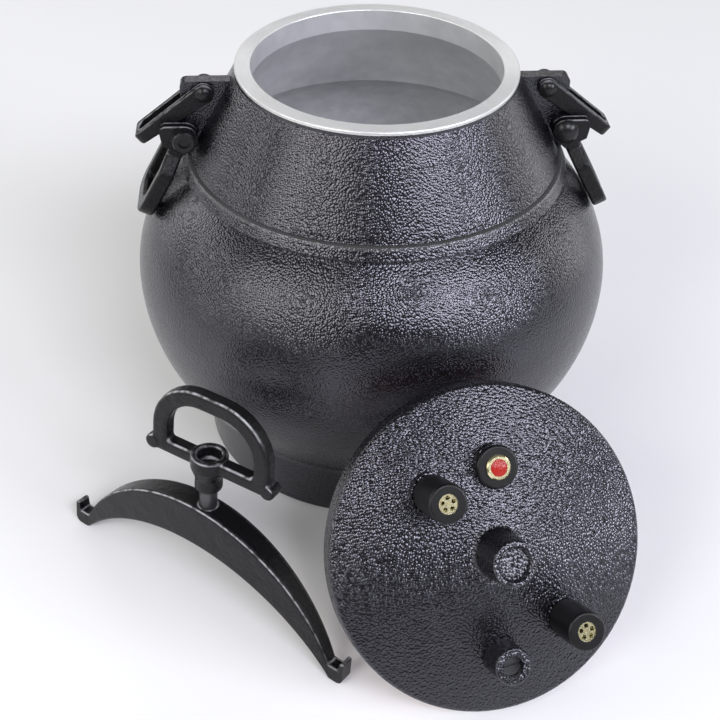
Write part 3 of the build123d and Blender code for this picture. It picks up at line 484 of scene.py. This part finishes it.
smallParts = dict(
    blackSteel=dict(
        low=(0.006, 0.006, 0.0065), high=(0.016, 0.016, 0.017), gloss=(0.2, 0.36), metallic=0.15
    ),
    oiledSteel=dict(
        low=(0.05, 0.05, 0.052), high=(0.11, 0.11, 0.115), gloss=(0.30, 0.45), metallic=0.8
    ),
    capPlastic=dict(
        low=(0.003, 0.003, 0.0032), high=(0.007, 0.007, 0.0072), gloss=(0.30, 0.42), metallic=0.0
    ),
    turnedBrass=dict(low=(0.74, 0.66, 0.36), high=(0.92, 0.86, 0.56), gloss=(0.2, 0.34)),
    redPlug=dict(
        low=(0.24, 0.008, 0.007),
        high=(0.50, 0.03, 0.02),
        gloss=(0.12, 0.26),
        metallic=0.0,
        sand=500.0,
        depth=0.0004,
    ),
    silicone=dict(low=(0.40, 0.07, 0.05), high=(0.5, 0.1, 0.07), gloss=(0.5, 0.62), metallic=0.0),
    springWire=dict(low=(0.5, 0.5, 0.52), high=(0.66, 0.66, 0.68), gloss=(0.2, 0.32)),
)


def plainMaterial(name, low, high, gloss, metallic=1.0, sand=900.0, depth=0.00003, specular=0.3):
    material, tree, shader, place = startMaterial(name)
    grain = dict(Sand=sand, Depth=depth, Dent_Depth=0.0001)
    skin = placeGroup(tree, castSkin, (-400, 200), place, **grain)
    drift = placeGroup(tree, toneDrift, (-400, -150), place, Size=120.0, Contrast=1.6)["Mask"]
    feed(tree, blendColours(tree, (100, 200), drift, low, high), shader["Base Color"])
    feed(tree, blendValues(tree, (100, -100), skin["Grain"], *gloss), shader["Roughness"])
    feed(tree, skin["Normal"], shader["Normal"])
    feed(tree, metallic, shader["Metallic"])
    feed(tree, specular, shader["Specular IOR Level"])
    return material


finishes = {
    "potPaint": paintMaterial("potPaint", paint["pot"], onPot=True),
    "lidPaint": paintMaterial("lidPaint", paint["lid"]),
    "rubbedPaint": paintMaterial("rubbedPaint", paint["lid"], paint["wearAndPaintedLight"]),
    "castBlack": castMaterial("castBlack"),
    "clampBlack": castMaterial("clampBlack", casting["clampFront"]),
    "machinedRim": machinedMaterial("machinedRim"),
    "bareCast": bareCastMaterial("bareCast"),
}
for name, look in smallParts.items():
    finishes[name] = plainMaterial(name, **look)
print("materials ready:", len(finishes))


# What each carried-over node wears

finishOf = {
    "stub_plug": "oiledSteel",
    "safety_socket": "capPlastic",
    "safety_ring": "turnedBrass",
    "safety_plug": "redPlug",
    "safety_nut": "turnedBrass",
    "lid_gasket": "silicone",
    "yoke_bar": "clampBlack",
    "screw_handle": "clampBlack",
    "clamp_screw": "oiledSteel",
    "thrust_tip": "oiledSteel",
    "cross_pin": "blackSteel",
    "retaining_pin": "oiledSteel",
}
for side in ("left", "right"):
    for part in ("catch", "ring_handle"):
        finishOf[f"{side}_{part}"] = "castBlack"
    for part in ("catch_pin", "handle_bolt", "handle_washer", "handle_nut"):
        finishOf[f"{side}_{part}"] = "blackSteel"
for valve in ("valve_a", "valve_b"):
    for part in ("body", "nut", "retainer", "poppet", "insert"):
        finishOf[f"{valve}_{part}"] = "turnedBrass"
    for part, finish in (("cap", "capPlastic"), ("seal", "silicone"), ("spring", "springWire")):
        finishOf[f"{valve}_{part}"] = finish


def wear(piece, *names):
    piece.data.materials.clear()
    for name in names:
        piece.data.materials.append(finishes[name])


for name, finish in finishOf.items():
    wear(nodes[name], finish)


potShape = dict(
    radius=0.150,
    height=0.1286,  # of the widest circle
    below=0.1343,  # half heights of the belly's outline under and over it
    above=0.1112,
    wall=0.003,  # safely inside the wall's thickness
    neckFoot=(0.1175, 0.203),
    neckTop=(0.0854, 0.262),
    ridge=0.003,  # the belly ends this far under the neck's foot
    rimTop=0.0006,
    floorTilt=0.3,  # least upward share of an inside face's normal
)


def outerRadius(height):
    if height < potShape["neckFoot"][1] - potShape["ridge"]:
        reach = potShape["above"] if height > potShape["height"] else potShape["below"]
        share = (height - potShape["height"]) / reach
        return potShape["radius"] * math.sqrt(max(0.0, 1 - share * share))
    (footRadius, footHeight), (topRadius, topHeight) = potShape["neckFoot"], potShape["neckTop"]
    share = min(1.0, (height - footHeight) / (topHeight - footHeight))
    return footRadius + (topRadius - footRadius) * share


def dressPot():
    node = nodes["pot_body"]
    wear(node, "potPaint", "machinedRim", "bareCast")
    for face in node.data.polygons:
        centre = face.center
        reach = math.hypot(centre.x, centre.y)
        inward = face.normal.x * centre.x + face.normal.y * centre.y < 0
        inside = reach < outerRadius(centre.z) - potShape["wall"]
        if centre.z > rimHeight - potShape["rimTop"]:
            face.material_index = 1
        elif inside and (inward or face.normal.z > potShape["floorTilt"]):
            face.material_index = 2
        else:
            face.material_index = 0


lidShape = dict(
    radius=0.089,
    edge=0.012,  # height of the top's outline at the flange
    rise=0.017,
    bulge=0.0025,
    halfWall=0.004,
    hollow=0.0685,  # radius of the bare underside within the locating ring
    undersideBand=0.0002,
    bossReach=0.0165,  # round the boss in the middle
    bossFacing=0.8,
)


def lidMiddle(reach):
    # Height of the middle of the lid's wall
    share = min(1.0, reach / lidShape["radius"])
    bow = 4 * lidShape["bulge"] * share * (1 - share)
    return lidShape["edge"] + lidShape["rise"] * (1 - share) + bow - lidShape["halfWall"]


def dressLid():
    node = nodes["lid_plate"]
    wear(node, "lidPaint", "bareCast", "rubbedPaint")
    for face in node.data.polygons:
        offset = face.center - lidOrigin
        high = offset.dot(lidAxis)
        reach = (offset - lidAxis * high).length
        middle = lidMiddle(reach)
        bare = high < lidShape["undersideBand"] or (reach < lidShape["hollow"] and high < middle)
        facing = face.normal.dot(lidAxis) > lidShape["bossFacing"]
        bossTop = reach < lidShape["bossReach"] and high > middle and facing
        face.material_index = 1 if bare else 2 if bossTop else 0


dressPot()
dressLid()
print("nodes dressed")


# Modelling helpers

def clearChoice():
    bpy.ops.object.select_all(action="DESELECT")


def chooseOnly(*pieces):
    clearChoice()
    for piece in pieces:
        piece.select_set(True)
    bpy.context.view_layer.objects.active = pieces[0]


def settle():
    # The chosen pieces take their place into their meshes
    bpy.ops.object.transform_apply(location=True, rotation=True, scale=True)


def chooseFaces(piece, test):
    bpy.ops.object.mode_set(mode="OBJECT")
    for part in (*piece.data.vertices, *piece.data.edges):
        part.select = False
    for face in piece.data.polygons:
        face.select = test(face)
    bpy.ops.object.mode_set(mode="EDIT")


def chooseEdges(piece, test):
    bpy.ops.object.mode_set(mode="OBJECT")
    points = piece.data.vertices
    for part in (*piece.data.polygons, *points):
        part.select = False
    for edge in piece.data.edges:
        edge.select = test(*(points[index].co for index in edge.vertices))
    bpy.ops.object.mode_set(mode="EDIT")


def extrudeBy(step):
    bpy.ops.mesh.extrude_region_move(TRANSFORM_OT_translate={"value": step})


def closeShell():
    bpy.ops.mesh.select_all(action="SELECT")
    bpy.ops.mesh.normals_make_consistent(inside=False)
    bpy.ops.object.mode_set(mode="OBJECT")


def applyModifier(piece, name, kind, **settings):
    modifier = piece.modifiers.new(name, kind)
    for key, value in settings.items():
        setattr(modifier, key, value)
    bpy.context.view_layer.objects.active = piece
    bpy.ops.object.modifier_apply(modifier=name)


def roundEdges(piece, width, segments):
    limit = dict(limit_method="ANGLE", angle_limit=math.radians(50))
    applyModifier(piece, "rounding", "BEVEL", width=width, segments=segments, **limit)


# The clamp's handle: one casting with a rounded arch, a bar, two nubs and the hub on the screw

handleCasting = dict(
    foot=(-0.10998, -0.16806, 0.00042),  # base of the clamp's own upright axis
    heading=-40.2,
    turn=5.5,  # of the handle from the clamp's bar
    offset=0.002,
    half=0.0396,
    member=0.0106,
    thickness=0.0088,
    barLow=0.0956,
    barHigh=0.1045,
    top=0.1456,
    cornerRadius=0.0268,  # to the middle of the member
    cornerSteps=10,
    edgeRound=0.0024,
    nubRadius=0.0046,
    nubDrop=0.0042,
    nubProud=0.0012,
    nubRound=0.0014,
    hubLevels=((0.0822, 0.0080), (0.0903, 0.0080), (0.0975, 0.0108), (0.1052, 0.0108)),
    hubMouth=0.0070,
    hubFloor=0.0975,
    hubBore=0.00535,
    hubRound=0.0009,
    hubSides=48,
    nubSides=32,
    mouthGap=0.0003,  # between the hub's mouth and the end of the bar
    mouthCut=0.03,  # height of the cutter, well past the bar on both sides
    voxel=0.00055,
    softening=4,
)
nearly = 0.0001  # distance within which an edge counts as lying at a level
squareOn = 0.9  # share of a normal beyond which a face counts as facing along an axis


def makeArch(shape):
    half = shape["half"] - shape["member"] / 2
    radius = shape["cornerRadius"]
    spring = shape["top"] - shape["member"] / 2 - radius  # where the legs end
    barMiddle = (shape["barLow"] + shape["barHigh"]) / 2
    barDepth = shape["barHigh"] - shape["barLow"]
    clearChoice()
    bpy.ops.mesh.primitive_cube_add(
        size=1,
        location=(-half, 0, barMiddle),
        scale=(shape["member"], shape["thickness"], barDepth),
    )
    arch = bpy.context.object
    arch.name = "screwHandleCasting"
    settle()
    bpy.ops.object.mode_set(mode="EDIT")
    bpy.ops.mesh.select_mode(type="FACE")
    chooseFaces(arch, lambda face: face.normal.z > squareOn)
    extrudeBy((0, 0, spring - shape["barHigh"]))
    # with no window the spin turns the other way, so its quarter turns are negative
    quarter = dict(steps=shape["cornerSteps"], angle=-math.pi / 2, axis=(0, 1, 0))
    bpy.ops.mesh.spin(center=(radius - half, 0, spring), **quarter)
    extrudeBy((2 * (half - radius), 0, 0))
    bpy.ops.mesh.spin(center=(half - radius, 0, spring), **quarter)
    extrudeBy((0, 0, shape["barHigh"] - spring))
    extrudeBy((0, 0, -barDepth))
    # the bar runs between the facing sides of the two feet
    inner = half - shape["member"] / 2
    chooseFaces(
        arch,
        lambda face: abs(abs(face.center.x) - inner) < 5 * nearly
        and abs(face.center.z - barMiddle) < 10 * nearly
        and abs(face.normal.x) > squareOn,
    )
    bpy.ops.mesh.bridge_edge_loops()
    bpy.ops.mesh.select_all(action="SELECT")
    bpy.ops.mesh.remove_doubles(threshold=nearly / 10)
    closeShell()
    roundEdges(arch, shape["edgeRound"], segments=3)
    return arch


def makeHub(shape):
    (low, radius), (firstHigh, firstRadius), *rounds = shape["hubLevels"]
    # over the lip and down into the mouth, then down the bore
    rounds += [(rounds[-1][0], shape["hubMouth"]), (shape["hubFloor"], shape["hubMouth"])]
    rounds += [(shape["hubFloor"], shape["hubBore"]), (low, shape["hubBore"])]
    clearChoice()
    bpy.ops.mesh.primitive_cylinder_add(
        vertices=shape["hubSides"],
        radius=radius,
        depth=firstHigh - low,
        end_fill_type="NOTHING",
        location=(0, 0, (low + firstHigh) / 2),
    )
    hub = bpy.context.object
    settle()
    bpy.ops.object.mode_set(mode="EDIT")
    bpy.ops.mesh.select_mode(type="EDGE")
    chooseEdges(hub, lambda first, second: min(first.z, second.z) > firstHigh - nearly)
    height, reach = firstHigh, firstRadius
    for nextHeight, nextReach in rounds:
        step = (0, 0, nextHeight - height)
        bpy.ops.mesh.extrude_edges_move(TRANSFORM_OT_translate={"value": step})
        share = nextReach / reach
        middle = (0, 0, nextHeight)
        bpy.ops.transform.resize(value=(share, share, 1), center_override=middle)
        height, reach = nextHeight, nextReach
    chooseEdges(hub, lambda first, second: max(first.z, second.z) < low + nearly)
    bpy.ops.mesh.bridge_edge_loops()
    closeShell()
    roundEdges(hub, shape["hubRound"], segments=2)
    return hub


def makeNub(shape, side):
    along = side * (shape["half"] - shape["nubProud"] / 2)
    clearChoice()
    bpy.ops.mesh.primitive_cylinder_add(
        vertices=shape["nubSides"],
        radius=shape["nubRadius"],
        depth=shape["thickness"] + shape["nubProud"],
        location=(along, 0, shape["barLow"] + shape["nubDrop"]),
        rotation=(math.pi / 2, 0, 0),
    )
    nub = bpy.context.object
    settle()
    roundEdges(nub, shape["nubRound"], segments=3)
    return nub


def openHub(arch, shape):
    # The bar stops at the hub, so that the hub's mouth stays open
    middle = (shape["barLow"] + shape["barHigh"]) / 2
    clearChoice()
    bpy.ops.mesh.primitive_cylinder_add(
        vertices=shape["hubSides"],
        radius=shape["hubMouth"] + shape["mouthGap"],
        depth=shape["mouthCut"],
        location=(0, 0, middle),
    )
    cutter = bpy.context.object
    cut = dict(operation="DIFFERENCE", object=cutter, solver="EXACT")
    applyModifier(arch, "mouth", "BOOLEAN", **cut)
    bpy.data.objects.remove(cutter)


def makeScrewHandle(shape):
    pieces = [makeArch(shape), makeNub(shape, -1), makeNub(shape, 1)]
    for piece in pieces:
        piece.location.x = shape["offset"]
    pieces.append(makeHub(shape))
    handle = pieces[0]
    chooseOnly(*pieces)
    settle()
    openHub(handle, shape)
    chooseOnly(*pieces)
    bpy.ops.object.join()
    skin = dict(mode="VOXEL", voxel_size=shape["voxel"], use_smooth_shade=True)
    applyModifier(handle, "castingSkin", "REMESH", **skin)
    applyModifier(handle, "softening", "SMOOTH", factor=0.5, iterations=shape["softening"])
    heading = math.radians(shape["heading"])
    along = Vector((math.cos(heading), math.sin(heading), 0))
    across = screwAxis.cross(along)
    stand = Matrix((along, across, screwAxis)).transposed().to_4x4()
    turn = Matrix.Rotation(math.radians(shape["turn"]), 4, "Z")
    handle.matrix_world = Matrix.Translation(shape["foot"]) @ stand @ turn
    chooseOnly(handle)
    settle()
    wear(handle, "clampBlack")
    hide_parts("screw_handle")
    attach(handle, "screw")
    return handle


handle = makeScrewHandle(handleCasting)
print("screw handle cast:", len(handle.data.polygons), "faces")


# The valves' springs: coils wound in place of the frame's springs, with the share of length each
# would keep at full lift

coilSpring = dict(
    wire=0.0004, radius=0.0031, turns=4, stepsPerTurn=32, wireSides=12, lift=0.0035
)


def spanAlong(name, direction):
    node = nodes[name]
    reach = [(node.matrix_world @ vertex.co).dot(direction) for vertex in node.data.vertices]
    return min(reach), max(reach)


def makeCoil(shape, height):
    wire = shape["wire"]
    clearChoice()
    bpy.ops.mesh.primitive_circle_add(
        vertices=shape["wireSides"],
        radius=wire,
        location=(shape["radius"], 0, wire),
        rotation=(math.pi / 2, 0, 0),
    )
    coil = bpy.context.object
    settle()
    applyModifier(
        coil,
        "winding",
        "SCREW",
        axis="Z",
        angle=2 * math.pi,
        screw_offset=(height - 2 * wire) / shape["turns"],
        iterations=shape["turns"],
        steps=shape["stepsPerTurn"],
    )
    bpy.ops.object.mode_set(mode="EDIT")
    bpy.ops.mesh.select_all(action="SELECT")
    bpy.ops.mesh.fill_holes(sides=0)
    closeShell()
    bpy.ops.object.shade_smooth_by_angle(angle=math.radians(40))
    return coil


def placeSpring(coil, valve):
    across = lidAxis.orthogonal().normalized()
    upward = lidAxis.cross(across)
    low, high = spanAlong(f"{valve}_spring", lidAxis)
    foot = lidAxis * low
    for direction in (across, upward):
        foot += direction * sum(spanAlong(f"{valve}_poppet", direction)) / 2
    coil.name = f"{valve}_coil"
    stand = Matrix((across, upward, lidAxis)).transposed().to_4x4()
    coil.matrix_world = Matrix.Translation(foot) @ stand
    chooseOnly(coil)
    settle()
    wear(coil, "springWire")
    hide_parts(f"{valve}_spring")
    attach(coil, "lid")
    keep = 1 - coilSpring["lift"] / (high - low)
    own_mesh(coil)
    return keep


def makeSprings():
    low, high = spanAlong("valve_a_spring", lidAxis)
    first = makeCoil(coilSpring, high - low)
    second = first.copy()
    second.data = first.data.copy()
    bpy.context.scene.collection.objects.link(second)
    return [placeSpring(first, "valve_a"), placeSpring(second, "valve_b")]


print("springs wound, share kept at full lift:", [round(keep, 3) for keep in makeSprings()])


# Floor, lamps and camera

studio = dict(
    floorColour=(0.92, 0.92, 0.925),
    floorRoughness=0.75,
    floorSpecular=0.2,
    floorSize=9.0,
    floorDrop=0.0002,
    air=(0.95, 0.97, 1.0),
    airStrength=0.17,
    target=(0.0, -0.06, 0.13),
)
# bearing from the front towards +X, height angle, distance, width, height, radiance, colour
softLights = {
    "leftFrontLamp": (-43, 31, 2.6, 1.05, 1.25, 6.4, (1.0, 0.99, 0.96)),
    "frontLamp": (21, 42.5, 2.6, 1.12, 0.7, 14.2, (0.90, 0.90, 1.0)),
    "rightLamp": (56, 24, 2.6, 1.12, 0.7, 15.5, (0.89, 0.90, 1.0)),
    "leftLamp": (-78, 18, 1.6, 0.6, 0.7, 3.6, (1.0, 0.985, 0.94)),
    "rightEdgeLamp": (105, 10, 1.6, 0.6, 0.5, 3.6, (1.0, 1.0, 1.0)),
    "backLamp": (-120, 17, 1.7, 0.8, 0.7, 3.0, (1.0, 0.99, 0.97)),
    "topLamp": (180, 33, 1.7, 1.2, 0.8, 1.6, (1.0, 1.0, 1.0)),
}


def makeFloor():
    clearChoice()
    bpy.ops.mesh.primitive_plane_add(
        size=studio["floorSize"], location=(0, 0, -studio["floorDrop"])
    )
    floor = bpy.context.object
    floor.name = "studioFloor"
    material, tree, shader, place = startMaterial("paleFloor")
    feed(tree, studio["floorColour"], shader["Base Color"])
    feed(tree, studio["floorRoughness"], shader["Roughness"])
    feed(tree, studio["floorSpecular"], shader["Specular IOR Level"])
    floor.data.materials.append(material)


def makeLamps():
    target = Vector(studio["target"])
    for name, (bearing, rise, distance, width, height, radiance, colour) in softLights.items():
        lamp = bpy.data.lights.new(name, "AREA")
        lamp.shape = "RECTANGLE"
        lamp.size, lamp.size_y = width, height
        lamp.energy, lamp.color = math.pi * width * height * radiance, colour
        holder = bpy.data.objects.new(name, lamp)
        bpy.context.scene.collection.objects.link(holder)
        bearing, rise = math.radians(bearing), math.radians(rise)
        level = Vector((math.sin(bearing), -math.cos(bearing), 0))
        away = level * math.cos(rise) + Vector((0, 0, math.sin(rise)))
        holder.location = target + away * distance
        holder.rotation_euler = (-away).to_track_quat("-Z", "Y").to_euler()


def makeAir():
    world = bpy.data.worlds.new("studioAir")
    bpy.context.scene.world = world
    world.use_nodes = True
    background = world.node_tree.nodes["Background"].inputs
    background["Color"].default_value = (*studio["air"], 1)
    background["Strength"].default_value = studio["airStrength"]


photoView = dict(
    place=(-0.0677, -0.6982, 0.6141),
    bearing=-5.54,
    lookDown=33.49,
    roll=1.69,
    lens=65.0,
    sensor=36.0,
    shift=(-0.0174, -0.1884),
    clip=(0.01, 50.0),
)


def makeCamera():
    camera = bpy.data.cameras.new("photoCamera")
    camera.sensor_width, camera.lens = photoView["sensor"], photoView["lens"]
    camera.shift_x, camera.shift_y = photoView["shift"]
    camera.clip_start, camera.clip_end = photoView["clip"]
    holder = bpy.data.objects.new("photoCamera", camera)
    bpy.context.scene.collection.objects.link(holder)
    bearing, down, roll = (math.radians(photoView[key]) for key in ("bearing", "lookDown", "roll"))
    level = Vector((math.cos(bearing), math.sin(bearing), 0))
    ahead = Vector((-math.sin(bearing), math.cos(bearing), 0))
    forward = ahead * math.cos(down) - Vector((0, 0, math.sin(down)))
    upward = level.cross(forward)
    across = level * math.cos(roll) + upward * math.sin(roll)
    above = upward * math.cos(roll) - level * math.sin(roll)
    stand = Matrix((across, above, -forward)).transposed().to_4x4()
    holder.matrix_world = Matrix.Translation(photoView["place"]) @ stand
    bpy.context.scene.camera = holder


makeFloor()
makeLamps()
makeAir()
makeCamera()
bpy.context.scene.view_settings.view_transform = "Standard"
print("studio ready")
